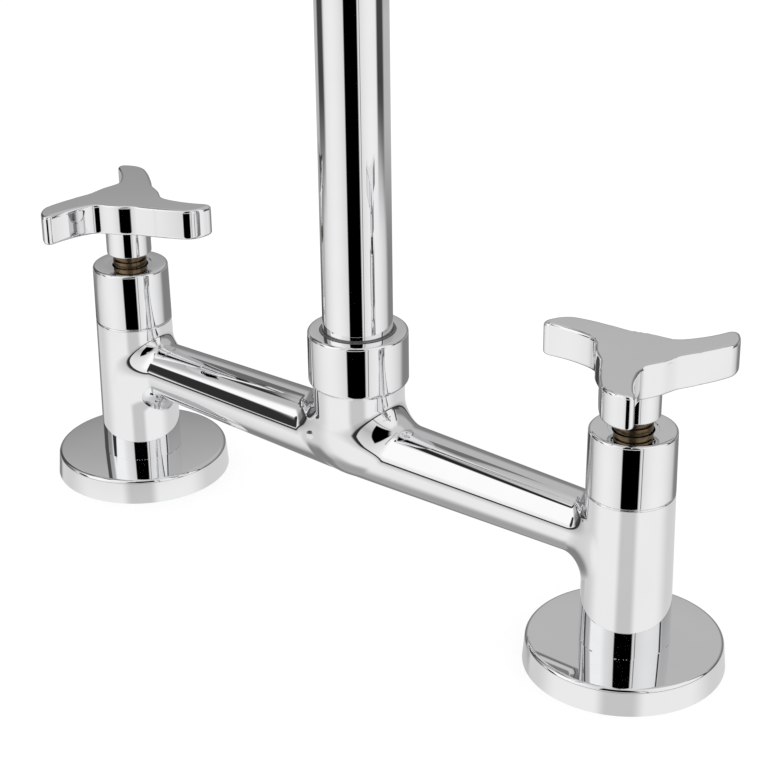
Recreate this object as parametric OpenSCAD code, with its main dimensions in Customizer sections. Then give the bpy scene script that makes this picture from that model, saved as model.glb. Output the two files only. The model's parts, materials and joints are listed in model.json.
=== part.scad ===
// Deck-mounted bridge mixer tap: two pillars with quarter-turn valves, a filleted bridge between them
// and a swivel swan-neck spout.
// Millimetres. The origin is midway between the two tap holes, on the worktop; the spout points along -Y.

/* [Layout] */
// Distance between the two tap holes
centres = 203.2; // [170:0.1:240]
// Thickness of the worktop that the tap is clamped to
worktop_t = 30; // [20:1:38]

/* [Flanges] */
// Diameter of a flange on the worktop
flange_d = 60; // [54:0.5:70]
// Diameter of a flange at its top
flange_top_d = 58.6; // [50:0.1:66]
// Height of a flange
flange_t = 8.4; // [6:0.1:12]
// Radius of a flange's top edge
flange_edge = 1.3; // [0.4:0.1:2.5]
// Outer diameter of the seal under a flange
seal_d = 49; // [36:0.5:50]
// Thickness of the seal under a flange
seal_t = 2.6; // [1.5:0.1:3.5]

/* [Pillars] */
// Diameter of a pillar at its foot
pillar_foot_d = 27.2; // [26.4:0.1:30]
// Diameter of a pillar at the seam under its shroud
pillar_top_d = 25.9; // [25.5:0.1:29]
// Height of a pillar from its flange to the seam
pillar_h = 48.8; // [47:0.1:60]
// Radius of the two edges that form the groove at the seam
seam_edge = 0.5; // [0.2:0.05:0.9]

/* [Bridge] */
// Height of the bridge's axis above the flanges
bridge_rise = 32.6; // [29:0.1:34]
// Diameter of the bridge arms at the middle
arm_mid_d = 22.6; // [20:0.1:25]
// Diameter of the bridge arms at the pillars
arm_end_d = 18.5; // [16:0.1:20]
// Diameter of the boss under the spout
boss_d = 29; // [28:0.1:33]
// Height of the boss's shoulder above the bridge's axis
boss_rise = 21; // [18:0.1:28]
// Fillet radius where an arm's top meets a pillar
pillar_fillet_top = 3.5; // [2:0.1:4.5]
// Fillet radius where an arm's underside meets a pillar
pillar_fillet_low = 7; // [3:0.1:9]
// Fillet radius where an arm meets the boss
boss_fillet = 7; // [3:0.1:9]
// Diameter of the waterway in each arm
waterway_d = 9; // [6:0.1:11]

/* [Shrouds] */
// Height of a valve shroud
shroud_h = 19.8; // [19:0.1:28]
// Diameter of a valve shroud at its top
shroud_top_d = 25.5; // [24.8:0.1:28]
// Radius of a shroud's top edge
shroud_edge = 1; // [0.3:0.1:2]
// Diameter of the hole in a shroud's top
shroud_hole_d = 12.2; // [12:0.1:13.4]
// Diameter of the shallow ring round that hole
shroud_ring_d = 14.6; // [14:0.1:18]
// Depth of the shallow ring
shroud_ring_t = 0.3; // [0.1:0.05:0.6]
// Thickness of a shroud's top
shroud_roof = 1.6; // [1:0.1:2.4]

/* [Valves] */
// Diameter of the half-inch pipe thread of valves and tails
thread_d = 20.955; // [20:0.005:21.4]
// Length of a valve's thread
valve_thread_l = 9.2; // [7:0.1:10]
// Depth of a valve's seat below the bridge's axis
seat_drop = 13.1; // [11:0.1:15]
// Outer diameter of a valve's barrel in its pillar
barrel_d = 16.6; // [15.8:0.1:17.4]
// Diameter of the chamber round a valve's barrel
chamber_d = 19.2; // [18:0.1:20]
// Thickness of the rubber seal on a valve's seat
valve_seal_t = 2.5; // [1.5:0.1:3]
// Diameter of the ceramic discs
disc_d = 13.6; // [12.6:0.1:14]
// Thickness of each ceramic disc
disc_t = 3; // [2:0.1:3.4]
// Width across the flats of a valve's hexagon
valve_hex = 19; // [17:0.1:19.2]
// Diameter of a valve's neck
neck_d = 11.3; // [10.4:0.1:11.6]
// Height of a valve's neck above its shroud
neck_show = 5.4; // [4.8:0.1:6]
// Diameter of a spindle in its neck
spindle_d = 8; // [7:0.1:8.6]
// Diameter of the toothed end of a spindle
spline_d = 7.6; // [6.4:0.1:7.9]
// Length of the toothed end of a spindle
spline_l = 11; // [7:0.1:12]

/* [Handles] */
// Diameter of a handle's hub
hub_d = 15.1; // [14.6:0.1:17]
// Gap between a shroud and the hub above it
hub_gap = 4.2; // [3:0.1:4.6]
// Height of the hub under the arms
hub_h = 10; // [8:0.1:14]
// Thickness of the handle's arms
spoke_t = 10.3; // [7:0.1:12]
// Width of a handle's arm at the hub
spoke_w = 13.6; // [11.5:0.1:14.5]
// Reach of a handle's arm from the hub's centre
spoke_reach = 29; // [25:0.5:34]
// Radius of an arm's outward-curved side
spoke_convex_r = 50; // [42:1:70]
// Radius of an arm's inward-curved side
spoke_concave_r = 36.4; // [32:0.1:60]
// Lean of an arm's sides where they leave the hub, in degrees
spoke_lean = 5.8; // [3:0.1:8]
// Tilt of an arm's end face, in degrees
tip_tilt = 3; // [0:0.5:6]
// Corner radius at an arm's end on its outward-curved side
tip_r_convex = 3.2; // [2:0.1:4.5]
// Corner radius at an arm's end on its inward-curved side
tip_r_concave = 3.5; // [2:0.1:4.5]
// Fillet radius between neighbouring arms
root_r = 8.6; // [7.5:0.1:10]
// Radius of the arms' top and bottom edges
spoke_edge = 1.1; // [0.5:0.1:1.6]
// Diameter of the round core between the arms
core_d = 20.6; // [19:0.1:22]
// Radius of the core's top edge
core_edge = 2; // [1:0.1:3]
// Diameter of the grub screw that locks a handle
grub_d = 4; // [3:0.5:4]
// Direction of the left handle at rest, in degrees
left_turn = 112.6; // [0:0.1:360]
// Direction of the right handle at rest, in degrees
right_turn = 273.5; // [0:0.1:360]

/* [Spout] */
// Outer diameter of the spout tube
tube_d = 22; // [20:0.1:22.4]
// Wall of the spout tube
tube_wall = 1; // [0.8:0.1:1.6]
// Height at which the swan neck starts to bend
neck_start_z = 225; // [200:1:260]
// Radius of the swan neck's bend
neck_bend_r = 90; // [60:1:110]
// Straight length of tube after the bend
drop_l = 25; // [16:1:50]
// Diameter of the collar round the spout's foot
collar_d = 31.6; // [31:0.1:35]
// Height of the collar
collar_h = 18; // [16:0.1:24]
// Radius of the collar's top edge
collar_edge = 1; // [0.3:0.1:2]
// Diameter of the waterway through the spout's foot
foot_bore_d = 12; // [8:0.5:13]
// Width of the bush's rim that shows round the tube
bush_rim_w = 0.9; // [0.6:0.05:1.1]
// Height of the bush's rim above the collar
bush_show = 0.2; // [0:0.1:0.8]
// How far the aerator's housing stands out from the tube
aerator_rim_w = 0.7; // [0.2:0.1:2]
// Height of the aerator's housing below the tube
aerator_h = 9; // [7:0.5:14]
// Wall of the aerator's housing
aerator_wall = 1.4; // [1:0.1:1.8]

/* [Tails and back nuts] */
// Length of a tail below the worktop
tail_below = 36; // [34:1:50]
// Length of a tail's thread in its pillar
tail_in_pillar = 12; // [8:0.5:13]
// Diameter of the waterway through a tail
tail_bore_d = 13; // [10:0.5:15]
// Length of the supply thread at a tail's end
supply_l = 18; // [12:1:20]
// Width of the groove between a tail's two threads
tail_groove_w = 2; // [1:0.5:2.5]
// Diameter at the bottom of a tail's groove
tail_groove_d = 18.4; // [17:0.1:19.5]
// Outer diameter of the rubber washer under the worktop
rubber_washer_d = 36; // [32:0.5:44]
// Thickness of the rubber washer
rubber_washer_t = 3; // [2:0.5:3.5]
// Outer diameter of the metal washer
metal_washer_d = 34; // [31:0.5:44]
// Thickness of the metal washer
metal_washer_t = 2; // [1:0.25:2.5]
// Width across the flats of a back nut
back_nut_af = 27; // [25:0.5:32]
// Height of a back nut
back_nut_h = 8; // [6:0.5:9]

/* [Fits] */
// Radial clearance of threads and plugs that stand still
still_gap = 0.05; // [0.02:0.01:0.1]
// Radial clearance of parts that turn in one another
turn_gap = 0.06; // [0.03:0.01:0.1]
// Clearance between flat faces that slide on one another
face_gap = 0.1; // [0.05:0.01:0.2]
// Clearance of loose washers, flanges and seals round a tail
loose_gap = 0.4; // [0.2:0.05:0.6]

/* [Hidden] */
$fn = 96;
sides = ["left", "right"];
half = centres / 2;

// Heights, from the worktop up
bridge_z = flange_t + bridge_rise;
seam_z = flange_t + pillar_h;
seat_z = bridge_z - seat_drop;
shroud_top_z = seam_z + shroud_h;
neck_top_z = shroud_top_z + neck_show;
hub_z = shroud_top_z + hub_gap;
spoke_z = hub_z + hub_h;
boss_z = bridge_z + boss_rise;
collar_top_z = boss_z + collar_h;
spout_end_z = neck_start_z - drop_l;

// Bridge
arm_mid_r = arm_mid_d / 2;
arm_end_r = arm_end_d / 2;
boss_r = boss_d / 2;
ball_z = boss_r - arm_mid_r;
fillet_sink = 0.03;
fillet_root = 1.2;
fillet_sides = 44;
fillet_steps = 6;

// Spout foot: the boss's socket, the spigot under the collar and the flange that holds the spout down
tube_r = tube_d / 2;
plug_r = tube_r - tube_wall - still_gap;
socket_r = tube_r;
socket_in_boss = 12;
socket_z = boss_z - socket_in_boss;
spigot_h = 11;
spigot_wall = 2;
spigot_r = socket_r + spigot_wall;
mixing_r = 8;
foot_lift = 1;
foot_z = socket_z + foot_lift;
foot_flange_z = boss_z + spigot_h + face_gap;
foot_flange_t = 2.4;
foot_flange_in = 0.5;
tube_foot_z = foot_flange_z + foot_flange_t;
foot_spigot_l = 10;
bush_r = tube_r + bush_rim_w;
bush_in = 0.1;
bush_wall_t = 1.5;
bush_z = tube_foot_z + face_gap;
lip_z = bush_z + bush_wall_t;
foot_r = socket_r - turn_gap;
ring_t = 2.4;
ring_drops = [5, 13];
ring_groove_w = 0.1;
ring_groove_deep = 0.05;
collar_chamfer = (collar_d - boss_d) / 2;

// Aerator
aerator_edge = 0.5;
aerator_taper = 0.4;
aerator_floor_t = 1.2;
aerator_lip = 1.2;
aerator_plug_l = 5;
insert_r = plug_r - aerator_wall - 2 * still_gap;
insert_wall = 1.2;
insert_floor_t = 2;
jet_r = 0.8;
jet_pitch = 2.6;
aerator_seal_w = 2;
aerator_seal_t = 1.6;

// Valves
barrel_r = barrel_d / 2;
thread_r = thread_d / 2;
disc_z = seat_z + valve_seal_t;
cavity_r = disc_d / 2 + turn_gap;
moving_z = disc_z + disc_t + face_gap / 2;
driver_z = moving_z + disc_t + face_gap / 2;
driver_t = 2.2;
driver_r = disc_d / 2 - 0.1;
outlet_h = 4.5;
cavity_top_z = driver_z + driver_t + outlet_h;
window_h = 4;
window_w = 8;
tongue_w = 3;
tongue_l = 2;
tongue_d = 1.4;
valve_collar_t = 2;
hex_h = 6.8;
shoulder_r = 7.6;
neck_in_shroud = 2.6;
neck_z = shroud_top_z - shroud_roof - neck_in_shroud;
neck_r = neck_d / 2;
neck_groove_deep = 0.7;
neck_groove_slope = 0.15;
neck_groove_z = shroud_top_z + hub_gap * 0.42;
neck_groove_w = hub_gap * 0.2;
neck_edge = 0.3;
clip_t = 0.8;
clip_z = neck_top_z + face_gap;
clip_r = neck_r - 0.5;
clip_mouth = 3;
clip_groove_r = spindle_d / 2 - 0.6;
valve_collar_r = thread_r + 0.9;
shroud_fit = 0.12;
shroud_inner_r = valve_collar_r + shroud_fit;
spindle_rings = [5, 10];
spindle_ring_t = 1.6;
seal_inset = 0.1;
seal_bore_inset = 0.4;
port_in = 0.11;
port_out = 0.38;
port_angle = 42;

// Handles
recess_gap = 0.6;
recess_r = neck_r + recess_gap;
recess_top_z = clip_z + clip_t + face_gap + 0.3;
spline_z = recess_top_z;
spline_top_z = spline_z + spline_l;
spline_teeth = 20;
spline_tooth = 0.5;
spline_end_gap = 0.4;
hub_edge = 0.4;
hub_in_spokes = spoke_edge + 0.5;
edge_sides = 14;
edge_loss = spoke_edge * (1 - cos(180 / edge_sides));
grub_z = hub_z + hub_h * 0.62;
grub_inset = 0.25;
grub_socket = 2;

// Tails
tail_top_z = flange_t + tail_in_pillar;
rubber_z = -worktop_t - rubber_washer_t;
washer_z = rubber_z - metal_washer_t;
nut_z = washer_z - back_nut_h;
tail_end_z = -worktop_t - tail_below;
tail_chamfer = 1;
nut_bevel = 0.9;

// How far a cutting body runs past the face that it opens
past = 1;

// Small shared shapes

// Half profile of a turned piece that tapers from r0 at its foot to r1 at its top, with a rounded top edge
module turned_profile(r0, r1, h, edge) {
    lean = atan((r0 - r1) / h);
    cz = h - edge;
    cx = r0 - cz * tan(lean) - edge / cos(lean);
    polygon([[0, 0], [r0, 0], [cx + edge * cos(lean), cz + edge * sin(lean)], [cx, h], [0, h]]);
    translate([cx, cz]) circle(edge);
}

module turned(r0, r1, h, edge) {
    rotate_extrude() turned_profile(r0, r1, h, edge);
}

module tube(r_out, r_in, h) {
    difference() {
        cylinder(r = r_out, h = h);
        translate([0, 0, -past]) cylinder(r = r_in, h = h + 2 * past);
    }
}

module o_ring(r_out, t) {
    rotate_extrude() translate([r_out - t / 2, 0]) circle(t / 2);
}

// Groove for an o_ring on a turned piece
module o_ring_groove(r_out, t) {
    w = t + 2 * ring_groove_w;
    translate([0, 0, -w / 2]) tube(r_out + past, r_out - t - ring_groove_deep, w);
}

module at_side(side) {
    translate([side == "left" ? -half : half, 0, 0]) children();
}

// Bridge body

function unit(v) = v / norm(v);

// Centre of the ball that rolls round an arm at angle a and touches the upright post
function ball_centre(a, post_r, arm_r, f, rise) =
    let (
        reach = arm_r + f - fillet_sink,
        y = reach * cos(a),
        z = reach * sin(a),
        below = min(0, z - rise)
    )
    [sqrt(max(0, pow(post_r + f - fillet_sink, 2) - y * y - below * below)), y, z];

// One cross-section of the fillet: an arc on the ball, then three points inside the metal
function fillet_section(a, post_r, arm_r, f, rise) =
    let (
        c = ball_centre(a, post_r, arm_r, f, rise),
        to_arm = [0, -cos(a), -sin(a)],
        to_post = unit([-c[0], -c[1], max(0, rise - c[2])]),
        turn = acos(max(-1, min(1, to_arm * to_post))),
        side = unit(to_post - to_arm * (to_arm * to_post)),
        way = function(t) to_arm * cos(turn * t) + side * sin(turn * t)
    )
    concat(
        [for (i = [0 : fillet_steps]) c + f * way(i / fillet_steps)],
        [for (t = [1, 0.5, 0]) c + (f + fillet_root) * way(t)]
    );

// Fillet between a post on the Z axis and an arm along +X, swept round the arm from angle a0 to a1
module crotch_fillet(post_r, arm_r, f_top, f_low, rise, a0, a1, n) {
    mid = (f_top + f_low) / 2;
    amp = (f_top - f_low) / 2;
    closed = a1 - a0 >= 360;
    rows = closed ? n : n + 1;
    m = fillet_steps + 4;
    angles = [for (i = [0 : rows - 1]) a0 + (a1 - a0) * i / n];
    points = [for (a = angles) each fillet_section(a, post_r, arm_r, mid + amp * sin(a), rise)];
    skin = [
        for (i = [0 : n - 1], j = [0 : m - 1])
            let (
                p = i * m + j,
                q = i * m + (j + 1) % m,
                r = ((i + 1) % rows) * m + (j + 1) % m,
                s = ((i + 1) % rows) * m + j
            )
            each [[p, r, q], [p, s, r]]
    ];
    fan = [for (j = [1 : m - 2]) each [[0, j, j + 1], [n * m, n * m + j + 1, n * m + j]]];
    polyhedron(points, closed ? skin : concat(skin, fan));
}

module pillar() {
    translate([0, 0, flange_t]) turned(pillar_foot_d / 2, pillar_top_d / 2, pillar_h, seam_edge);
}

// The boss stands on a ball that is flush with the arms' underside
module boss() {
    translate([0, 0, bridge_z]) rotate_extrude() {
        intersection() {
            translate([0, ball_z]) circle(boss_r);
            translate([0, ball_z - boss_r]) square([boss_r, boss_r]);
        }
        translate([0, ball_z]) square([boss_r, boss_rise - ball_z]);
        square([spigot_r, boss_rise + spigot_h]);
    }
}

module bridge_arm() {
    rotate([0, 90, 0]) cylinder(r1 = arm_mid_r, r2 = arm_end_r, h = half);
}

module arm_fillets() {
    boss_meet = arm_mid_r - (arm_mid_r - arm_end_r) * boss_r / half;
    pillar_meet = arm_end_r + (arm_mid_r - arm_end_r) * pillar_foot_d / 2 / half;
    pillar_r = (pillar_foot_d + pillar_top_d) / 4;
    crotch_fillet(boss_r, boss_meet, boss_fillet, boss_fillet, ball_z, -62, 242, fillet_sides);
    translate([half, 0, 0]) mirror([1, 0, 0])
        crotch_fillet(pillar_r, pillar_meet, pillar_fillet_top, pillar_fillet_low, -99, 0, 360, fillet_sides);
}

module pillar_bores() {
    translate([0, 0, flange_t - past]) cylinder(r = thread_r + still_gap, h = tail_in_pillar + past);
    translate([0, 0, flange_t]) cylinder(r = tail_bore_d / 2, h = seat_z - flange_t + past);
    translate([0, 0, seat_z]) cylinder(r = chamber_d / 2, h = seam_z - seat_z);
    translate([0, 0, seam_z - valve_thread_l]) cylinder(r = thread_r + still_gap, h = valve_thread_l + past);
}

module bridge_body() {
    color("silver") difference() {
        union() {
            boss();
            for (side = sides) at_side(side) pillar();
            translate([0, 0, bridge_z]) for (m = [0, 1]) mirror([m, 0, 0]) {
                bridge_arm();
                arm_fillets();
            }
        }
        for (side = sides) at_side(side) pillar_bores();
        translate([-half, 0, bridge_z]) rotate([0, 90, 0]) cylinder(r = waterway_d / 2, h = centres);
        translate([0, 0, bridge_z - mixing_r / 2]) cylinder(r = mixing_r, h = socket_z - bridge_z + mixing_r);
        translate([0, 0, socket_z]) cylinder(r = socket_r, h = socket_in_boss + spigot_h + past);
    }
}

// Flanges, tails and back nuts

module flange(side) {
    color("silver") at_side(side) difference() {
        turned(flange_d / 2, flange_top_d / 2, flange_t, flange_edge);
        translate([0, 0, -past]) cylinder(r = thread_r + loose_gap, h = flange_t + 2 * past);
        translate([0, 0, -past]) cylinder(r = seal_d / 2 + loose_gap, h = seal_t + past);
    }
}

module flange_seal(side) {
    color("dimgray") at_side(side) tube(seal_d / 2, thread_r + loose_gap, seal_t);
}

module tail(side) {
    groove_z = tail_end_z + supply_l;
    color("darkgoldenrod") at_side(side) rotate_extrude() polygon([
        [tail_bore_d / 2, tail_end_z], [thread_r - tail_chamfer, tail_end_z],
        [thread_r, tail_end_z + tail_chamfer], [thread_r, groove_z],
        [tail_groove_d / 2, groove_z], [tail_groove_d / 2, groove_z + tail_groove_w],
        [thread_r, groove_z + tail_groove_w], [thread_r, tail_top_z - tail_chamfer],
        [thread_r - tail_chamfer, tail_top_z], [tail_bore_d / 2, tail_top_z],
    ]);
}

module rubber_washer(side) {
    color("dimgray") at_side(side) translate([0, 0, rubber_z])
        tube(rubber_washer_d / 2, thread_r + loose_gap, rubber_washer_t);
}

module metal_washer(side) {
    color("lightgray") at_side(side) translate([0, 0, washer_z])
        tube(metal_washer_d / 2, thread_r + loose_gap, metal_washer_t);
}

module back_nut(side) {
    corner_r = back_nut_af / 2 / cos(30);
    color("goldenrod") at_side(side) translate([0, 0, nut_z]) difference() {
        intersection() {
            cylinder(r = corner_r, h = back_nut_h, $fn = 6);
            nut_cone(corner_r);
        }
        translate([0, 0, -past]) cylinder(r = thread_r + still_gap, h = back_nut_h + 2 * past);
    }
}

// Rounds off the hexagon's corners at the nut's two ends
module nut_cone(corner_r) {
    bevel = (corner_r - back_nut_af / 2) * nut_bevel;
    rise = bevel * tan(30);
    rotate_extrude() polygon([
        [0, 0], [corner_r - bevel, 0], [corner_r, rise], [corner_r, back_nut_h - rise],
        [corner_r - bevel, back_nut_h], [0, back_nut_h],
    ]);
}

// Valves

module valve_seal(side) {
    color("black") at_side(side) translate([0, 0, seat_z])
        tube(barrel_r - seal_inset, tail_bore_d / 2 - seal_bore_inset, valve_seal_t);
}

module valve_body(side) {
    color("peru") at_side(side) difference() {
        union() {
            translate([0, 0, disc_z]) cylinder(r = barrel_r, h = seam_z - disc_z);
            translate([0, 0, seam_z - valve_thread_l]) cylinder(r = thread_r, h = valve_thread_l);
            translate([0, 0, seam_z]) cylinder(r = valve_collar_r, h = valve_collar_t);
            translate([0, 0, seam_z + valve_collar_t])
                cylinder(r = valve_hex / 2 / cos(30), h = hex_h, $fn = 6);
            translate([0, 0, seam_z]) cylinder(r = shoulder_r, h = neck_z - seam_z);
            rotate_extrude() neck_profile();
        }
        translate([0, 0, disc_z - past]) cylinder(r = cavity_r, h = cavity_top_z - disc_z + past);
        translate([0, 0, disc_z]) cylinder(r = spindle_d / 2 + turn_gap, h = neck_top_z - disc_z + past);
        translate([-window_w / 2, -barrel_r - past, cavity_top_z - window_h])
            cube([window_w, barrel_d + 2 * past, window_h]);
    }
}

// Half profile of the neck: two turned rings with a groove between them above the shroud
module neck_profile() {
    root_r = neck_r - neck_groove_deep;
    groove_top_z = neck_groove_z + neck_groove_w;
    polygon([
        [0, neck_z - past], [neck_r, neck_z - past], [neck_r, neck_groove_z],
        [root_r, neck_groove_z + neck_groove_slope], [root_r, groove_top_z],
        [neck_r, groove_top_z + neck_groove_slope], [neck_r, neck_top_z - neck_edge],
        [neck_r - neck_edge, neck_top_z], [0, neck_top_z],
    ]);
}

// Quarter of a ring, as a flat outline
module sector(r0, r1, from, to) {
    n = 12;
    polygon(concat(
        [for (i = [0 : n]) let (a = from + (to - from) * i / n) r1 * [cos(a), sin(a)]],
        [for (i = [n : -1 : 0]) let (a = from + (to - from) * i / n) r0 * [cos(a), sin(a)]]
    ));
}

module disc_ports() {
    for (turn = [0, 180]) rotate(turn) sector(disc_d * port_in, disc_d * port_out, -port_angle, port_angle);
}

module fixed_disc(side) {
    color("white") at_side(side) translate([0, 0, disc_z]) linear_extrude(disc_t) difference() {
        circle(disc_d / 2);
        disc_ports();
    }
}

module moving_disc(side) {
    color("whitesmoke") at_side(side) translate([0, 0, moving_z]) linear_extrude(disc_t) difference() {
        circle(disc_d / 2);
        rotate(90) disc_ports();
        for (turn = [0, 180]) rotate(turn) translate([disc_d / 2 - tongue_d, -tongue_w / 2 - still_gap])
            square([tongue_d + past, tongue_w + 2 * still_gap]);
    }
}

// Outline of the spindle's toothed end
module spline_outline() {
    step = 360 / spline_teeth;
    polygon([
        for (i = [0 : spline_teeth - 1], p = [[0, 0], [0.3, 0], [0.5, 1], [0.8, 1]])
            (spline_d / 2 - p[1] * spline_tooth) * [cos((i + p[0]) * step), sin((i + p[0]) * step)]
    ]);
}

module spindle(side) {
    shaft_r = spindle_d / 2;
    color("darkgoldenrod") at_side(side) difference() {
        union() {
            translate([0, 0, driver_z]) cylinder(r = driver_r, h = driver_t);
            intersection() {
                translate([0, 0, driver_z - tongue_l]) cylinder(r = driver_r, h = tongue_l + past);
                for (turn = [0, 180]) rotate(turn)
                    translate([disc_d / 2 - tongue_d + still_gap, -tongue_w / 2, 0])
                        cube([tongue_d, tongue_w, driver_z + past]);
            }
            translate([0, 0, driver_z]) cylinder(r = shaft_r, h = spline_z - driver_z);
            translate([0, 0, spline_z - past]) linear_extrude(spline_l + past) spline_outline();
        }
        for (drop = spindle_rings)
            translate([0, 0, neck_top_z - drop]) o_ring_groove(shaft_r, spindle_ring_t);
        translate([0, 0, clip_z]) tube(shaft_r + past, clip_groove_r, clip_t);
    }
}

module spindle_o_rings(side) {
    color("black") at_side(side) for (drop = spindle_rings)
        translate([0, 0, neck_top_z - drop]) o_ring(spindle_d / 2, spindle_ring_t);
}

// Open snap ring that stops the spindle from being pushed down
module spindle_clip(side) {
    color("gray") at_side(side) translate([0, 0, clip_z]) linear_extrude(clip_t) difference() {
        circle(clip_r);
        circle(clip_groove_r + still_gap);
        translate([0, -clip_mouth / 2]) square([clip_r + past, clip_mouth]);
    }
}

module shroud(side) {
    color("silver") at_side(side) translate([0, 0, seam_z]) difference() {
        intersection() {
            turned(pillar_top_d / 2, shroud_top_d / 2, shroud_h, shroud_edge);
            translate([0, 0, shroud_h]) mirror([0, 0, 1])
                turned(shroud_top_d / 2, pillar_top_d / 2, shroud_h, seam_edge);
        }
        translate([0, 0, -past]) cylinder(r = shroud_inner_r, h = shroud_h - shroud_roof + past);
        cylinder(r = shroud_hole_d / 2, h = shroud_h + past);
        translate([0, 0, shroud_h - shroud_ring_t]) cylinder(r = shroud_ring_d / 2, h = shroud_ring_t + past);
    }
}

// Handles

// Centre of an arm's outward-curved side, of its inward-curved side, and of the fillet to the next arm
function convex_centre() = [0, -spoke_w / 2] + spoke_convex_r * [-sin(spoke_lean), cos(spoke_lean)];
function concave_centre() = [0, spoke_w / 2] + spoke_concave_r * [sin(spoke_lean), cos(spoke_lean)];
function turned_by(p, a) = [p[0] * cos(a) - p[1] * sin(a), p[0] * sin(a) + p[1] * cos(a)];

// The crossing of two circles that lies nearer the given point
function circles_meet(c0, r0, c1, r1, near) =
    let (
        d = norm(c1 - c0),
        u = (c1 - c0) / d,
        x = (d * d + r0 * r0 - r1 * r1) / (2 * d),
        h = sqrt(max(0, r0 * r0 - x * x)),
        p = c0 + x * u + h * [-u[1], u[0]],
        q = c0 + x * u - h * [-u[1], u[0]]
    )
    norm(p - near) < norm(q - near) ? p : q;

// Point of the circle (c, r) that lies at the given distance inside the arm's end line, on the far side
function on_end_line(c, r, inside, side) =
    let (
        bend = (1 / spoke_convex_r + 1 / spoke_concave_r) / 4,
        end = [spoke_reach, spoke_reach * spoke_reach * bend],
        n = [cos(tip_tilt), sin(tip_tilt)],
        k = n * end - inside - n * c,
        h = sqrt(max(0, r * r - k * k))
    )
    c + k * n + side * h * [-n[1], n[0]];

function arc_points(c, r, from, to, n) =
    let (
        a = atan2(from[1] - c[1], from[0] - c[0]),
        b = atan2(to[1] - c[1], to[0] - c[0]),
        sweep = b - a > 180 ? b - a - 360 : b - a < -180 ? b - a + 360 : b - a
    )
    [for (i = [0 : n]) c + r * [cos(a + sweep * i / n), sin(a + sweep * i / n)]];

// One arm's outline, drawn inside the true one by the given inset, with the fillet to the next arm
function spoke_outline(inset) =
    let (
        o = convex_centre(),
        i = concave_centre(),
        next_o = turned_by(o, 120),
        between = spoke_reach * [cos(60), sin(60)],
        g = circles_meet(i, spoke_concave_r - root_r, next_o, spoke_convex_r + root_r, between),
        prev_g = turned_by(g, -120),
        c2 = on_end_line(o, spoke_convex_r - tip_r_convex, tip_r_convex, -1),
        c1 = on_end_line(i, spoke_concave_r + tip_r_concave, tip_r_concave, -1),
        n = [cos(tip_tilt), sin(tip_tilt)],
        ro = spoke_convex_r - inset,
        ri = spoke_concave_r + inset
    )
    concat(
        arc_points(o, ro, o + ro * unit(prev_g - o), o + ro * unit(c2 - o), 7),
        arc_points(c2, tip_r_convex - inset, o + ro * unit(c2 - o), c2 + n, 4),
        arc_points(c1, tip_r_concave - inset, c1 + n, i + ri * unit(c1 - i), 4),
        arc_points(i, ri, i + ri * unit(c1 - i), i + ri * unit(g - i), 7),
        arc_points(g, root_r + inset, i + ri * unit(g - i), next_o + ro * unit(g - next_o), 5)
    );

module spokes() {
    arm = spoke_outline(spoke_edge);
    translate([0, 0, spoke_z + spoke_edge]) minkowski() {
        linear_extrude(spoke_t - 2 * spoke_edge)
            polygon([for (turn = [0, 120, 240], p = arm) turned_by(p, turn)]);
        sphere(spoke_edge, $fn = edge_sides);
    }
}

module hub() {
    top = hub_h + hub_in_spokes;
    translate([0, 0, hub_z]) rotate_extrude() polygon([
        [0, 0], [hub_d / 2 - hub_edge, 0], [hub_d / 2, hub_edge], [hub_d / 2, top], [0, top],
    ]);
}

// Round core that stands out between the arms, flush with their top and underside
module core() {
    translate([0, 0, spoke_z + edge_loss])
        turned(core_d / 2, core_d / 2, spoke_t - 2 * edge_loss, core_edge);
}

module handle(side) {
    turn = side == "left" ? left_turn : right_turn;
    color("silver") at_side(side) difference() {
        union() {
            rotate(turn) spokes();
            core();
            hub();
        }
        translate([0, 0, hub_z - past]) cylinder(r = recess_r, h = recess_top_z - hub_z + past);
        translate([0, 0, hub_z])
            cylinder(r = spline_d / 2 + still_gap, h = spline_top_z - hub_z + spline_end_gap);
        translate([0, 0, grub_z]) rotate([-90, 0, 0]) cylinder(r = grub_d / 2 + still_gap, h = hub_d);
    }
}

// Headless screw with a hexagon socket, in the back of the hub
module grub_screw(side) {
    start = spline_d / 2 + still_gap;
    length = hub_d / 2 - start - grub_inset;
    color("gray") at_side(side) translate([0, start, grub_z]) rotate([-90, 0, 0]) difference() {
        cylinder(r = grub_d / 2, h = length);
        translate([0, 0, length / 2]) cylinder(r = grub_socket / 2 / cos(30), h = length, $fn = 6);
    }
}

// Spout

module spout_tube() {
    color("silver") {
        translate([0, 0, tube_foot_z]) tube(tube_r, tube_r - tube_wall, neck_start_z - tube_foot_z);
        translate([0, -neck_bend_r, neck_start_z]) rotate([90, 0, 90]) rotate_extrude(angle = 180)
            translate([neck_bend_r, 0]) difference() {
                circle(tube_r);
                circle(tube_r - tube_wall);
            }
        at_outlet() tube(tube_r, tube_r - tube_wall, drop_l);
    }
}

// Brass end piece of the spout: a plug in the boss's socket, a flange and a spigot in the tube
module spout_foot() {
    color("darkgoldenrod") difference() {
        union() {
            translate([0, 0, foot_z]) cylinder(r = foot_r, h = foot_flange_z - foot_z);
            translate([0, 0, foot_flange_z]) cylinder(r = spigot_r - foot_flange_in, h = foot_flange_t);
            translate([0, 0, tube_foot_z]) cylinder(r = plug_r, h = foot_spigot_l);
        }
        translate([0, 0, foot_z - past])
            cylinder(r = foot_bore_d / 2, h = tube_foot_z + foot_spigot_l - foot_z + 2 * past);
        for (drop = ring_drops) translate([0, 0, foot_flange_z - drop]) o_ring_groove(foot_r, ring_t);
    }
}

module spout_o_rings() {
    color("black") for (drop = ring_drops) translate([0, 0, foot_flange_z - drop]) o_ring(foot_r, ring_t);
}

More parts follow.
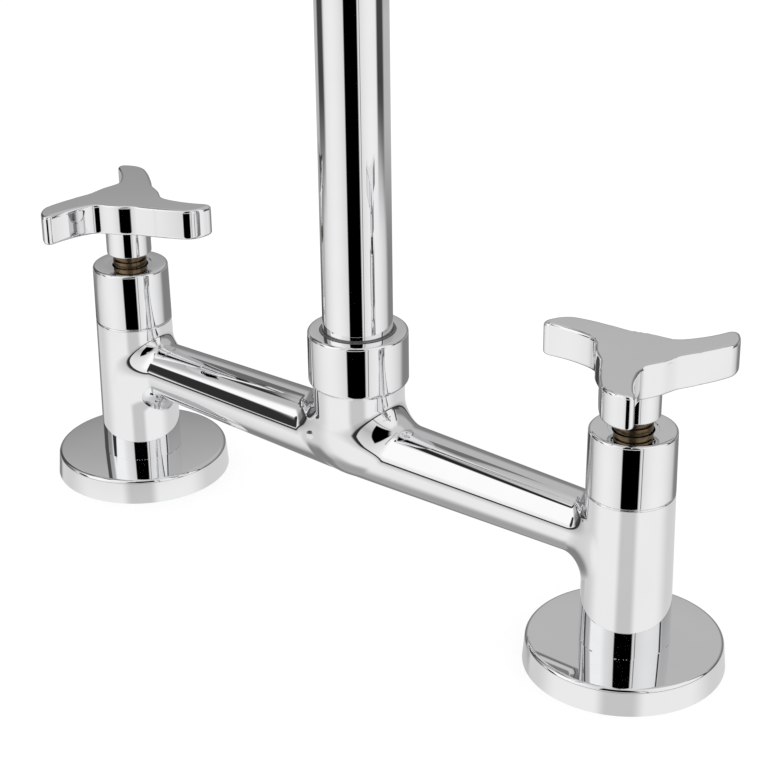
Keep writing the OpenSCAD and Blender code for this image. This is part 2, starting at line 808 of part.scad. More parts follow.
// Plastic ring that guides the tube and holds the spout's flange down
module spout_bush() {
    color("dimgray") translate([0, 0, bush_z]) difference() {
        union() {
            cylinder(r = spigot_r - bush_in, h = bush_wall_t);
            cylinder(r = bush_r, h = collar_top_z + bush_show - bush_z);
        }
        translate([0, 0, -past]) cylinder(r = tube_r + turn_gap, h = collar_h);
    }
}

module spout_collar() {
    color("silver") translate([0, 0, boss_z]) difference() {
        turned(collar_d / 2, collar_d / 2, collar_h, collar_edge);
        translate([0, 0, -past]) cylinder(r = spigot_r + still_gap, h = lip_z - boss_z + past);
        cylinder(r = bush_r + still_gap, h = collar_h + past);
        // Chamfer over the seam with the boss
        translate([0, 0, -past]) difference() {
            cylinder(r = collar_d, h = collar_chamfer + past);
            translate([0, 0, past - collar_chamfer])
                cylinder(r1 = collar_d / 2 - 2 * collar_chamfer, r2 = collar_d / 2, h = 2 * collar_chamfer);
        }
    }
}

// Aerator at the outlet

module at_outlet() {
    translate([0, -2 * neck_bend_r, spout_end_z]) children();
}

module aerator_housing() {
    rim_r = tube_r + aerator_rim_w;
    color("silver") at_outlet() difference() {
        union() {
            translate([0, 0, -aerator_h]) turned(rim_r - aerator_taper, rim_r, aerator_h, aerator_edge);
            cylinder(r = plug_r, h = aerator_plug_l);
        }
        translate([0, 0, aerator_floor_t - aerator_h])
            cylinder(r = plug_r - aerator_wall, h = aerator_h + aerator_plug_l);
        translate([0, 0, -aerator_h - past])
            cylinder(r = plug_r - aerator_wall - aerator_lip, h = aerator_floor_t + 2 * past);
    }
}

module aerator_insert() {
    color("whitesmoke") at_outlet() translate([0, 0, aerator_floor_t - aerator_h]) difference() {
        cylinder(r = insert_r, h = aerator_h - aerator_floor_t);
        translate([0, 0, insert_floor_t]) cylinder(r = insert_r - insert_wall, h = aerator_h);
        translate([0, 0, -past]) {
            jet();
            for (ring = [1, 2], i = [1 : 6 * ring]) rotate(i * 60 / ring)
                translate([ring * jet_pitch, 0, 0]) jet();
        }
    }
}

module jet() {
    cylinder(r = jet_r, h = insert_floor_t + 2 * past, $fn = 24);
}

module aerator_seal() {
    color("black") at_outlet() tube(insert_r, insert_r - aerator_seal_w, aerator_seal_t);
}

bridge_body();
spout_tube();
spout_foot();
spout_o_rings();
spout_collar();
spout_bush();
aerator_housing();
aerator_insert();
aerator_seal();
flange("left");  // flange_left
flange("right");  // flange_right
flange_seal("left");  // flange_seal_left
flange_seal("right");  // flange_seal_right
shroud("left");  // shroud_left
shroud("right");  // shroud_right
handle("left");  // handle_left
handle("right");  // handle_right
grub_screw("left");  // grub_screw_left
grub_screw("right");  // grub_screw_right
spindle("left");  // spindle_left
spindle("right");  // spindle_right
spindle_o_rings("left");  // spindle_o_rings_left
spindle_o_rings("right");  // spindle_o_rings_right
spindle_clip("left");  // spindle_clip_left
spindle_clip("right");  // spindle_clip_right
valve_body("left");  // valve_body_left
valve_body("right");  // valve_body_right
valve_seal("left");  // valve_seal_left
valve_seal("right");  // valve_seal_right
fixed_disc("left");  // fixed_disc_left
fixed_disc("right");  // fixed_disc_right
moving_disc("left");  // moving_disc_left
moving_disc("right");  // moving_disc_right
tail("left");  // tail_left
tail("right");  // tail_right
rubber_washer("left");  // rubber_washer_left
rubber_washer("right");  // rubber_washer_right
metal_washer("left");  // metal_washer_left
metal_washer("right");  // metal_washer_right
back_nut("left");  // back_nut_left
back_nut("right");  // back_nut_right
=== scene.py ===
"""Looks of a chrome bridge mixer tap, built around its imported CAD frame."""

import json
import math

import bpy
import numpy as np
from mathutils import Matrix, Vector

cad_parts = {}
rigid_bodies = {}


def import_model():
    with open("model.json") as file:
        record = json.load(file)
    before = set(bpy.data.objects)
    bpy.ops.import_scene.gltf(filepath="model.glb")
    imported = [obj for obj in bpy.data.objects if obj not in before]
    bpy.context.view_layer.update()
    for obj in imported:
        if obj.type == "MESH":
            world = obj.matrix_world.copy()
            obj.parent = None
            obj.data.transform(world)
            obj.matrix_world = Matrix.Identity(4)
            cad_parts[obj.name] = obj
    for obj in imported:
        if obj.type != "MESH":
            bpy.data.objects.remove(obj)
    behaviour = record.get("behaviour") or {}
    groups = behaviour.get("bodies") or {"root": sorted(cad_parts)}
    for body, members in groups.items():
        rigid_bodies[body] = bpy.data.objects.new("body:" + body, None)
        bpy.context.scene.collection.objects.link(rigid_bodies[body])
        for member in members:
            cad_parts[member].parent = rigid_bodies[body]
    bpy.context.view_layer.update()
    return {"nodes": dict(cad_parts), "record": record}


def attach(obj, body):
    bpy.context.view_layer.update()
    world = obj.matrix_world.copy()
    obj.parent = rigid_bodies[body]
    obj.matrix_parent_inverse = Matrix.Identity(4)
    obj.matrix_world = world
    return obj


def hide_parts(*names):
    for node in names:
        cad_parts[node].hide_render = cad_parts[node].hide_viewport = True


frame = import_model()

# Sizes in millimetres, as the CAD part has them. M turns them into Blender's metres.
M = 0.001
HALF = 101.6
BRIDGE_Z = 41.0
SEAM_Z = 57.2
SHROUD_TOP_Z = 77.0
BOSS_Z = 62.0
COLLAR_TOP_Z = 80.0
HUB_Z = 81.2
SPOKE_Z = 91.2
SPOKE_TOP_Z = 101.5
FLANGE_TOP_Z = 8.4
THREAD_R = 10.53

# The casting's outside
PILLAR_FOOT_R = 13.6
PILLAR_TOP_R = 12.95
SEAM_EDGE = 0.5
ARM_MID_R = 11.3
ARM_END_R = 9.25
ARM_END_X = 96.6
ARM_MID_SOFTNESS = 5.0  # rounds the ridge where the two tapers meet
ARM_FILLET = 5.25  # at the pillar's sides; less above the arm and more below it
ARM_FILLET_SWING = 1.75
BOSS_R = 14.5
BOSS_WAIST = 9.0  # above the arms' axis, where the boss begins to narrow
BOSS_INSET = 0.1  # how far the boss's lower end stays inside the arms
BOSS_FILLET = 7.0
BOSS_FILLET_LEAST = 0.2
BOSS_FILLET_FULL = 0.45  # sine of the angle round the arm from which the fillet is full
BOSS_REACH = 40.0  # round the axis, where nothing of the casting stands above the boss
SINK = 0.35  # how far the casting's cut edges reach into the flanges and the collar, which hides their grain

# The casting's bores
SPIGOT_R, SPIGOT_TOP_Z = 13.0, 73.0
SOCKET_R, SOCKET_FLOOR_Z = 11.0, 50.0
MIXING_R, MIXING_FLOOR_Z = 8.0, 37.0
WATERWAY_R = 4.5
VALVE_THREAD_FLOOR_Z = 48.0
CHAMBER_R, CHAMBER_FLOOR_Z = 9.6, 27.9
TAIL_BORE_TOP_Z = 20.4
INLET_R = 6.5

SLOT_OF = {row["node"]: row["material_slot"] for row in frame["record"]["subparts"]}
SIDES = {"left": -1, "right": 1}


# Distance fields, all in millimetres and negative inside


def smooth(a, b, x):
    """0 before a, 1 after b and a soft step between them."""
    t = np.clip((x - a) / (b - a), 0, 1)
    return t * t * (3 - 2 * t)


def round_join(a, b, r):
    """Union of two fields with a fillet of radius r where they meet."""
    return np.maximum(r, np.minimum(a, b)) - np.hypot(np.maximum(r - a, 0), np.maximum(r - b, 0))


def round_cut(a, b, r):
    """Intersection of two fields with an edge radius r where they meet."""
    return np.minimum(-r, np.maximum(a, b)) + np.hypot(np.maximum(r + a, 0), np.maximum(r + b, 0))


def tapered(dist, along, r0, r1, length):
    """Field of a cone with radius r0 at along 0 and r1 at along length."""
    lean = math.atan((r0 - r1) / length)
    return (dist - (r0 + (r1 - r0) * along / length)) * math.cos(lean)


def bridge_field(p):
    """The bridge body: two pillars, two tapered arms and a boss, blended, with its bores.

    Below its waist the boss is half an ellipsoid that ends at the arms' underside. Its fillet narrows to
    nothing there, because a wide one would swell the side that is nearly flush.
    """
    x, y, z = p[..., 0], p[..., 1], p[..., 2]
    ax = np.abs(x)
    rise = z - BRIDGE_Z
    around = np.hypot(y, rise)
    wall = tapered(around, np.hypot(x, ARM_MID_SOFTNESS), ARM_MID_R, ARM_END_R, HALF)
    end = ax - ARM_END_X
    arm = np.hypot(np.maximum(wall, 0), np.maximum(end, 0)) + np.minimum(np.maximum(wall, end), 0)
    from_pillar = np.hypot(ax - HALF, y)
    pillar = tapered(from_pillar, z - FLANGE_TOP_Z, PILLAR_FOOT_R, PILLAR_TOP_R, SEAM_Z - FLANGE_TOP_Z)
    up = rise / np.maximum(around, 1e-6)
    body = round_join(pillar, arm, ARM_FILLET - ARM_FILLET_SWING * np.clip(up, -1, 1))
    body = round_cut(body, z - SEAM_Z, SEAM_EDGE)
    body = np.maximum(body, FLANGE_TOP_Z - SINK - z)
    from_axis = np.hypot(x, y)
    below = np.minimum(rise - BOSS_WAIST, 0) * BOSS_R / (BOSS_WAIST + ARM_MID_R - BOSS_INSET)
    boss = np.hypot(from_axis, below) - BOSS_R
    above_boss = z - BOSS_Z - SINK
    fillet = BOSS_FILLET_LEAST + (BOSS_FILLET - BOSS_FILLET_LEAST) * smooth(-1, BOSS_FILLET_FULL, up)
    body = round_join(np.maximum(boss, above_boss), body, fillet)
    body = np.maximum(body, np.where(from_axis < BOSS_REACH, above_boss, -1.0))
    spigot = np.maximum(from_axis - SPIGOT_R, np.maximum(z - SPIGOT_TOP_Z, BRIDGE_Z - z))
    body = np.minimum(body, spigot)
    socket = np.maximum(from_axis - SOCKET_R, SOCKET_FLOOR_Z - z)
    mixing = np.maximum(from_axis - MIXING_R, MIXING_FLOOR_Z - z)
    waterway = np.maximum(around - WATERWAY_R, ax - HALF)
    thread = np.maximum(from_pillar - THREAD_R, VALVE_THREAD_FLOOR_Z - z)
    chamber = np.maximum(from_pillar - CHAMBER_R, CHAMBER_FLOOR_Z - z)
    tail_bore = np.maximum(from_pillar - THREAD_R, z - TAIL_BORE_TOP_Z)
    inlet = from_pillar - INLET_R
    for hollow in (socket, mixing, waterway, thread, chamber, tail_bore, inlet):
        body = np.maximum(body, -hollow)
    return body


# A handle, drawn with the hub's centre at the origin. Two circles bound each swept arm.
LEFT_TURN = 112.6
RIGHT_TURN = 273.5
SPOKE_W = 13.6
SPOKE_REACH = 29.0
CONVEX_R = 50.0
CONCAVE_R = 36.4
LEAN = math.radians(5.8)  # from square to the arm, of the line through the two circles' centres
TIP_TILT = math.radians(3.0)
TIP_R_CONVEX = 3.2
TIP_R_CONCAVE = 3.5
ROOT_R = 8.6  # between neighbouring arms
SPOKE_EDGE = 1.1
CORE_R = 11.4  # the thick round middle between the arms
CORE_ROOT_R = 1.5
HUB_R = 7.55
HUB_EDGE = 0.5
HUB_OVERLAP = 4.0  # how far the hub reaches up into the arms
HUB_FILLET = 0.35
RECESS_R, RECESS_TOP_Z = 6.25, 84.6
SPLINE_R, SPLINE_TOP_Z = 3.85, 96.0


def spoke_plan(x, y):
    """Field of one swept arm along +X, without its neighbours."""
    across, along, half = math.sin(LEAN), math.cos(LEAN), SPOKE_W / 2
    convex = np.hypot(x + CONVEX_R * across, y + half - CONVEX_R * along) - CONVEX_R
    concave = CONCAVE_R - np.hypot(x - CONCAVE_R * across, y - half - CONCAVE_R * along)
    bend = (1 / CONVEX_R + 1 / CONCAVE_R) / 4
    end = (x - SPOKE_REACH) * math.cos(TIP_TILT) + (y - SPOKE_REACH**2 * bend) * math.sin(TIP_TILT)
    arm = np.maximum(round_cut(convex, end, TIP_R_CONVEX), round_cut(concave, end, TIP_R_CONCAVE))
    return np.maximum(arm, -x)


def handle_field(p):
    """A handle: three swept arms, each blended into the next, on a hub with its recess and socket."""
    x, y, z = p[..., 0], p[..., 1], p[..., 2]
    arms = []
    for k in range(3):
        c, s = math.cos(k * math.tau / 3), math.sin(k * math.tau / 3)
        arms.append(spoke_plan(x * c + y * s, y * c - x * s))
    r = np.hypot(x, y)
    plan = np.minimum.reduce([round_join(arms[k], arms[k - 1], ROOT_R) for k in range(3)])
    plan = round_join(plan, r - CORE_R, CORE_ROOT_R)
    spokes = round_cut(round_cut(plan, z - SPOKE_TOP_Z, SPOKE_EDGE), SPOKE_Z - z, SPOKE_EDGE)
    hub = np.maximum(round_cut(r - HUB_R, HUB_Z - z, HUB_EDGE), z - SPOKE_Z - HUB_OVERLAP)
    body = round_join(spokes, hub, HUB_FILLET)
    for hole_r, top_z in ((RECESS_R, RECESS_TOP_Z), (SPLINE_R, SPLINE_TOP_Z)):
        body = np.maximum(body, -np.maximum(r - hole_r, z - top_z))
    return body


# Mesh making

SLOPE_STEP = 0.02
DRAW_ROUNDS = 4
LEAST_SLOPE = 0.25  # squared, below which a point is drawn no faster


def slope(field, p):
    """Gradient of a field at points p."""
    parts = []
    for axis in range(3):
        step = np.zeros(3)
        step[axis] = SLOPE_STEP
        parts.append((field(p + step) - field(p - step)) / (2 * SLOPE_STEP))
    return np.stack(parts, -1)


def surface_net(field, low, high, step):
    """Vertices, quads and normals of a field's zero surface, with the vertices drawn onto it.

    Where the grid begins is no round number, so that no flat face lies exactly on one of its layers.
    """
    low, high = np.array(low, float), np.array(high, float)
    count = np.ceil((high - low) / step).astype(int) + 1
    axes = [low[i] + step * np.arange(count[i]) for i in range(3)]
    grid = np.empty(tuple(count))
    for i, x in enumerate(axes[0]):
        y, z = np.meshgrid(axes[1], axes[2], indexing="ij")
        grid[i] = field(np.stack([np.full_like(y, x), y, z], -1))
    cells = count - 1
    total = np.zeros((cells.prod(), 3))
    hits = np.zeros(cells.prod())
    quads = []
    for axis in range(3):
        first = [slice(None)] * 3
        second = [slice(None)] * 3
        first[axis], second[axis] = slice(0, -1), slice(1, None)
        a, b = grid[tuple(first)], grid[tuple(second)]
        at = np.argwhere((a < 0) != (b < 0))
        va, vb = a[tuple(at.T)], b[tuple(at.T)]
        point = at.astype(float)
        point[:, axis] += va / (va - vb)
        u, v = (axis + 1) % 3, (axis + 2) % 3
        ring = []
        for du, dv in ((-1, -1), (0, -1), (0, 0), (-1, 0)):
            cell = at.copy()
            cell[:, u] += du
            cell[:, v] += dv
            index = (cell[:, 0] * cells[1] + cell[:, 1]) * cells[2] + cell[:, 2]
            np.add.at(total, index, point)
            np.add.at(hits, index, 1)
            ring.append(index)
        quad = np.stack(ring, 1)
        quad[va > 0] = quad[va > 0][:, ::-1]
        quads.append(quad)
    used = np.flatnonzero(hits)
    new_index = np.full(len(hits), -1)
    new_index[used] = np.arange(len(used))
    p = low + step * total[used] / hits[used, None]
    for _ in range(DRAW_ROUNDS):
        g = slope(field, p)
        move = field(p)[:, None] * g / np.maximum((g * g).sum(-1, keepdims=True), LEAST_SLOPE)
        p -= np.clip(move, -step / 2, step / 2)
    g = slope(field, p)
    normals = g / np.maximum(np.linalg.norm(g, axis=-1, keepdims=True), 1e-9)
    return p, new_index[np.concatenate(quads)], normals


def new_object(name, points, faces, normals=None):
    """Smooth-shaded object from points in millimetres."""
    mesh = bpy.data.meshes.new(name)
    mesh.from_pydata((np.asarray(points) * M).tolist(), [], [list(f) for f in faces])
    mesh.validate()
    mesh.shade_smooth()
    if normals is not None:
        mesh.normals_split_custom_set_from_vertices([tuple(n) for n in normals])
    obj = bpy.data.objects.new(name, mesh)
    bpy.context.scene.collection.objects.link(obj)
    return obj


def rounded(corners, turns=10):
    """Outline of straight runs and arcs from corners (r, z, radius)."""
    out = []
    n = len(corners)
    for i in range(n):
        p = np.array(corners[i][:2], float)
        radius = corners[i][2]
        if radius == 0:
            out.append(p)
            continue
        a = np.array(corners[i - 1][:2], float) - p
        b = np.array(corners[(i + 1) % n][:2], float) - p
        a /= np.linalg.norm(a)
        b /= np.linalg.norm(b)
        half = math.acos(np.clip(a @ b, -1, 1)) / 2
        middle = (a + b) / np.linalg.norm(a + b)
        centre = p + middle * radius / math.sin(half)
        start = p + a * radius / math.tan(half) - centre
        end = p + b * radius / math.tan(half) - centre
        for t in np.linspace(0, 1, turns + 1):
            way = start * (1 - t) + end * t
            out.append(centre + way / np.linalg.norm(way) * radius)
    return out


def lathe(name, corners, segments=192):
    """Closed turned piece about the Z axis from a closed outline of corners (r, z, radius)."""
    outline = rounded(corners)
    n = len(outline)
    angles = np.linspace(0, math.tau, segments, endpoint=False)
    points = [(r * math.cos(a), r * math.sin(a), z) for a in angles for r, z in outline]
    faces = []
    for i in range(segments):
        j = (i + 1) % segments
        for k in range(n):
            m = (k + 1) % n
            faces.append((i * n + k, j * n + k, j * n + m, i * n + m))
    obj = new_object(name, points, faces)
    obj.data.set_sharp_from_angle(angle=math.radians(SHARP))
    return obj


def place(obj, nodes, x=0.0, body="body"):
    """Moves a piece to its pillar, puts it on its body and lets it stand for CAD nodes."""
    obj.data.transform(Matrix.Translation((x * M, 0, 0)))
    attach(obj, body)
    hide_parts(*nodes)
    slot = SLOT_OF[nodes[0]]
    obj.data.materials.clear()
    obj.data.materials.append(material(slot))


# Materials

NOISE_DETAIL = 4.0
RAMP_ENDS = (0.35, 0.65)
BUMP_DEPTH = 0.0004  # metres


def varied(nodes, links, scale, low, high, target):
    """Drives a number socket with noise between low and high."""
    coords = nodes.new("ShaderNodeTexCoord")
    noise = nodes.new("ShaderNodeTexNoise")
    noise.inputs["Scale"].default_value = scale
    noise.inputs["Detail"].default_value = NOISE_DETAIL
    spread = nodes.new("ShaderNodeMapRange")
    spread.inputs["To Min"].default_value = low
    spread.inputs["To Max"].default_value = high
    links.new(coords.outputs["Object"], noise.inputs["Vector"])
    links.new(noise.outputs["Fac"], spread.inputs["Value"])
    links.new(spread.outputs["Result"], target)
    return noise


def coloured(nodes, links, noise, shades, target):
    """Drives a colour socket with a ramp over noise."""
    ramp = nodes.new("ShaderNodeValToRGB")
    for element, position, shade in zip(ramp.color_ramp.elements, RAMP_ENDS, shades):
        element.position = position
        element.color = (*shade, 1)
    links.new(noise.outputs["Fac"], ramp.inputs["Fac"])
    links.new(ramp.outputs["Color"], target)


def bumped(nodes, links, noise, bsdf, strength):
    """Raises the surface a little with noise."""
    bump = nodes.new("ShaderNodeBump")
    bump.inputs["Strength"].default_value = strength
    bump.inputs["Distance"].default_value = BUMP_DEPTH
    links.new(noise.outputs["Fac"], bump.inputs["Height"])
    links.new(bump.outputs["Normal"], bsdf.inputs["Normal"])


# slot: metallic, two shades, roughness range, noise scale, bump strength
FINISHES = {
    "polished_chrome": (1.0, (0.865, 0.868, 0.875), (0.885, 0.888, 0.893), (0.012, 0.03), 60, 0.0),
    "aged_brass": (1.0, (0.11, 0.08, 0.05), (0.24, 0.175, 0.105), (0.2, 0.38), 300, 0.08),
    "bright_brass": (1.0, (0.66, 0.47, 0.22), (0.76, 0.57, 0.30), (0.15, 0.3), 400, 0.05),
    "steel": (1.0, (0.50, 0.50, 0.51), (0.60, 0.60, 0.61), (0.22, 0.38), 500, 0.05),
    "black_rubber": (0.0, (0.018, 0.018, 0.019), (0.03, 0.03, 0.031), (0.55, 0.75), 900, 0.15),
    "grey_plastic": (0.0, (0.09, 0.09, 0.092), (0.12, 0.12, 0.122), (0.1, 0.2), 900, 0.0),
    "white_plastic": (0.0, (0.72, 0.72, 0.70), (0.80, 0.80, 0.78), (0.25, 0.4), 500, 0.05),
    "alumina": (0.0, (0.80, 0.79, 0.76), (0.86, 0.85, 0.82), (0.08, 0.16), 700, 0.02),
}
made_materials = {}


def material(slot):
    """The finish of a slot, made once."""
    if slot in made_materials:
        return made_materials[slot]
    metallic, dark, light, rough, scale, bump = FINISHES[slot]
    mat = bpy.data.materials.new(slot)
    mat.use_nodes = True
    nodes, links = mat.node_tree.nodes, mat.node_tree.links
    bsdf = nodes["Principled BSDF"]
    bsdf.inputs["Metallic"].default_value = metallic
    noise = varied(nodes, links, scale, rough[0], rough[1], bsdf.inputs["Roughness"])
    coloured(nodes, links, noise, (dark, light), bsdf.inputs["Base Color"])
    if bump:
        bumped(nodes, links, noise, bsdf, bump)
    made_materials[slot] = mat
    return mat


UNDER_WORKTOP = ("tail", "rubber_washer", "metal_washer", "back_nut")


def dress_cad_nodes():
    """Gives every CAD node its material, and keeps what is under the worktop out of reflections."""
    for name, obj in frame["nodes"].items():
        obj.data.materials.clear()
        obj.data.materials.append(material(SLOT_OF[name]))
        obj.visible_glossy = not name.startswith(UNDER_WORKTOP)


# Pieces

BRIDGE_GRID = ((-117.13, -17.57, 7.13), (117, 17.5, 75))
BRIDGE_STEP = 0.6
HANDLE_GRID = ((-35.07, -35.03, 79.93), (35, 35, 103))
HANDLE_STEP = 0.4

FLANGE_R = 30.0
FLANGE_TOP_R = 29.3
FLANGE_EDGE = 1.3
FLANGE_BORE_R = THREAD_R + 0.4
FLANGE_SEAL_R = 24.9
FLANGE_SEAL_TOP_Z = 2.6
FLANGE_SEGMENTS = 256

SHROUD_TOP_R = 12.75
SHROUD_EDGE = 1.0
SHROUD_HOLE_R = 6.1
SHROUD_HOLE_EDGE = 0.1
SHROUD_RING_R = 7.3
SHROUD_RING_Z = SHROUD_TOP_Z - 0.3
SHROUD_INNER_R = 11.5
SHROUD_ROOF_Z = SHROUD_TOP_Z - 1.6

COLLAR_R = 15.8
COLLAR_FOOT_EDGE = 1.2
COLLAR_EDGE = 1.0
COLLAR_INNER_R = 13.05
COLLAR_MOUTH_R = 11.95
COLLAR_MOUTH_EDGE = 0.15
COLLAR_LIP_Z = 77.6
BUSH_INNER_R = 11.06
BUSH_FOOT_R = 12.9
BUSH_NECK_R = 11.9
BUSH_FOOT_Z = 76.2
BUSH_STEP_Z = COLLAR_LIP_Z - 0.1
BUSH_TOP_Z = COLLAR_TOP_Z + 0.2
BUSH_EDGE = 0.1

TUBE_R = 11.0
TUBE_WALL = 1.0
TUBE_FOOT_Z = 75.5
NECK_START_Z = 225.0
NECK_BEND_R = 90.0
DROP_L = 25.0
RISER_ROWS, BEND_ROWS, DROP_ROWS = 40, 97, 8
TUBE_SEGMENTS = 128
SHARP = 30  # degrees from which an edge is drawn sharp


def make_bridge():
    step = BRIDGE_STEP * 1
    points, faces, normals = surface_net(bridge_field, *BRIDGE_GRID, step)
    obj = new_object("bridge_casting", points, faces, normals)
    place(obj, ["bridge_body"])


def make_handles():
    """One mesh, turned to the place of each handle."""
    step = HANDLE_STEP * 1
    points, faces, normals = surface_net(handle_field, *HANDLE_GRID, step)
    for side, sign in SIDES.items():
        turn = math.radians(LEFT_TURN if side == "left" else RIGHT_TURN)
        spin = np.array([[math.cos(turn), -math.sin(turn), 0], [math.sin(turn), math.cos(turn), 0], [0, 0, 1]])
        obj = new_object(f"tap_handle_{side}", points @ spin.T, faces, normals @ spin.T)
        place(obj, [f"handle_{side}"], sign * HALF, f"handle_{side}")


def make_flanges():
    """Round flanges with a bore for the tail and a seat for the seal underneath."""
    for side, sign in SIDES.items():
        obj = lathe(f"round_flange_{side}", [
            (FLANGE_BORE_R, FLANGE_SEAL_TOP_Z, 0), (FLANGE_SEAL_R, FLANGE_SEAL_TOP_Z, 0),
            (FLANGE_SEAL_R, 0, 0), (FLANGE_R, 0, 0),
            (FLANGE_TOP_R, FLANGE_TOP_Z, FLANGE_EDGE), (FLANGE_BORE_R, FLANGE_TOP_Z, 0),
        ], FLANGE_SEGMENTS)
        place(obj, [f"flange_{side}"], sign * HALF)


def make_shrouds():
    """Thin shrouds over the valves, with a shallow ring round the hole in the roof."""
    for side, sign in SIDES.items():
        obj = lathe(f"valve_shroud_{side}", [
            (SHROUD_INNER_R, SEAM_Z, 0), (PILLAR_TOP_R, SEAM_Z, SEAM_EDGE),
            (SHROUD_TOP_R, SHROUD_TOP_Z, SHROUD_EDGE), (SHROUD_RING_R, SHROUD_TOP_Z, SHROUD_HOLE_EDGE),
            (SHROUD_RING_R, SHROUD_RING_Z, 0), (SHROUD_HOLE_R, SHROUD_RING_Z, SHROUD_HOLE_EDGE),
            (SHROUD_HOLE_R, SHROUD_ROOF_Z, 0), (SHROUD_INNER_R, SHROUD_ROOF_Z, 0),
        ])
        place(obj, [f"shroud_{side}"], sign * HALF)


def make_collar():
    """The collar, chamfered up from the boss, and the thin bush between it and the tube."""
    chamfer_z = BOSS_Z + COLLAR_R - BOSS_R
    collar = lathe("swivel_collar", [
        (COLLAR_INNER_R, BOSS_Z, 0), (BOSS_R, BOSS_Z, 0), (COLLAR_R, chamfer_z, COLLAR_FOOT_EDGE),
        (COLLAR_R, COLLAR_TOP_Z, COLLAR_EDGE), (COLLAR_MOUTH_R, COLLAR_TOP_Z, COLLAR_MOUTH_EDGE),
        (COLLAR_MOUTH_R, COLLAR_LIP_Z, 0), (COLLAR_INNER_R, COLLAR_LIP_Z, 0),
    ])
    place(collar, ["spout_collar"])
    bush = lathe("tube_bush", [
        (BUSH_INNER_R, BUSH_FOOT_Z, 0), (BUSH_FOOT_R, BUSH_FOOT_Z, 0), (BUSH_FOOT_R, BUSH_STEP_Z, 0),
        (BUSH_NECK_R, BUSH_STEP_Z, 0), (BUSH_NECK_R, BUSH_TOP_Z, BUSH_EDGE),
        (BUSH_INNER_R, BUSH_TOP_Z, BUSH_EDGE),
    ])
    place(bush, ["spout_bush"])


def make_spout():
    """The swan neck, swept along a riser, a half circle and a drop, with its inner wall."""
    path = [(0.0, z) for z in np.linspace(TUBE_FOOT_Z, NECK_START_Z, RISER_ROWS)]
    bend = np.linspace(0, math.pi, BEND_ROWS)[1:]
    path += [(-NECK_BEND_R * (1 - math.cos(a)), NECK_START_Z + NECK_BEND_R * math.sin(a)) for a in bend]
    path += [(-2 * NECK_BEND_R, NECK_START_Z - d) for d in np.linspace(0, DROP_L, DROP_ROWS)[1:]]
    path = np.array(path)
    along = np.gradient(path, axis=0)
    along /= np.linalg.norm(along, axis=1, keepdims=True)
    angles = np.linspace(0, math.tau, TUBE_SEGMENTS, endpoint=False)
    points, faces = [], []
    for r in (TUBE_R, TUBE_R - TUBE_WALL):
        for (y, z), (ty, tz) in zip(path, along):
            points += [(r * math.cos(a), y + tz * r * math.sin(a), z - ty * r * math.sin(a)) for a in angles]
    inner = len(path) * TUBE_SEGMENTS
    last = inner - TUBE_SEGMENTS
    for k in range(TUBE_SEGMENTS):
        m = (k + 1) % TUBE_SEGMENTS
        for a in range(0, last, TUBE_SEGMENTS):
            b = a + TUBE_SEGMENTS
            faces.append((a + k, a + m, b + m, b + k))
            faces.append((inner + b + k, inner + b + m, inner + a + m, inner + a + k))
        faces.append((k, inner + k, inner + m, m))
        faces.append((last + k, last + m, inner + last + m, inner + last + k))
    obj = new_object("swan_neck_tube", points, faces)
    obj.data.set_sharp_from_angle(angle=math.radians(SHARP))
    place(obj, ["spout_tube"], body="spout")


# Camera, set to the photograph's viewing point

CAMERA_PLACE = (369.8, -430.0, 328.7)
CAMERA_YAW = 39.898
CAMERA_PITCH = 25.288
CAMERA_ROLL = 0.792
FOCAL_PIXELS = 1994.7
PHOTO_PIXELS = 768
SENSOR_MM = 36.0
CLIP = (0.01, 50)


def make_camera():
    """Camera from its place, three turns and focal length in the photograph's pixels."""
    yaw, pitch, roll = (math.radians(v) for v in (CAMERA_YAW, CAMERA_PITCH, CAMERA_ROLL))
    ahead = Vector((-math.sin(yaw) * math.cos(pitch), math.cos(yaw) * math.cos(pitch), -math.sin(pitch)))
    right = Vector((math.cos(yaw), math.sin(yaw), 0))
    down = ahead.cross(right)
    across = math.cos(roll) * right + math.sin(roll) * down
    below = math.cos(roll) * down - math.sin(roll) * right
    cam = bpy.data.objects.new("camera", bpy.data.cameras.new("camera"))
    bpy.context.scene.collection.objects.link(cam)
    turn = Matrix((across, -below, -ahead)).transposed().to_4x4()
    cam.matrix_world = Matrix.Translation(Vector(CAMERA_PLACE) * M) @ turn
    cam.data.sensor_width = SENSOR_MM
    cam.data.lens = FOCAL_PIXELS / PHOTO_PIXELS * SENSOR_MM
    cam.data.clip_start, cam.data.clip_end = CLIP
    bpy.context.scene.camera = cam


# Studio: domes round the tap that only its reflections see, in degrees of azimuth and height.
# A pair of angles is a fade: where a light or a dark begins, and where it is full.
# Sides are counted from the middle of a dark slot behind the camera.

STAGE_R = 950.0
LAYER_GAP = 10.0  # between domes that lie one behind the other
BOARD_EDGE = -1
WALL_FOOT = -75

SLOT_AZIMUTH = -54.7
SLOT_SIDE = (19.5, 22.0)
SLOT_FOOT = (19.5, 21.0)
SEAM_SIDE = 27.0
SEAM_WIDTH = (0.4, 1.4)
SEAM_LIGHT = 0.15
PANEL_MIDDLE = 62.0
PANEL_HALF = 48.0
PANEL_LIGHT = (0.68, 0.95)  # at its edge and in its middle
PANEL_END = 84.0
PANEL_END_BELOW = 28.0  # how much further the panel goes at the bottom
PANEL_END_FADE = 18.0
PANEL_WIDENS = (-8, -16)
ROOM_LIGHT = (0.24, 0.52)
ROOM_PALE_ABOVE = (15, 33)
ROOM_PALE_BELOW = ((-16, -8), (0, -4))

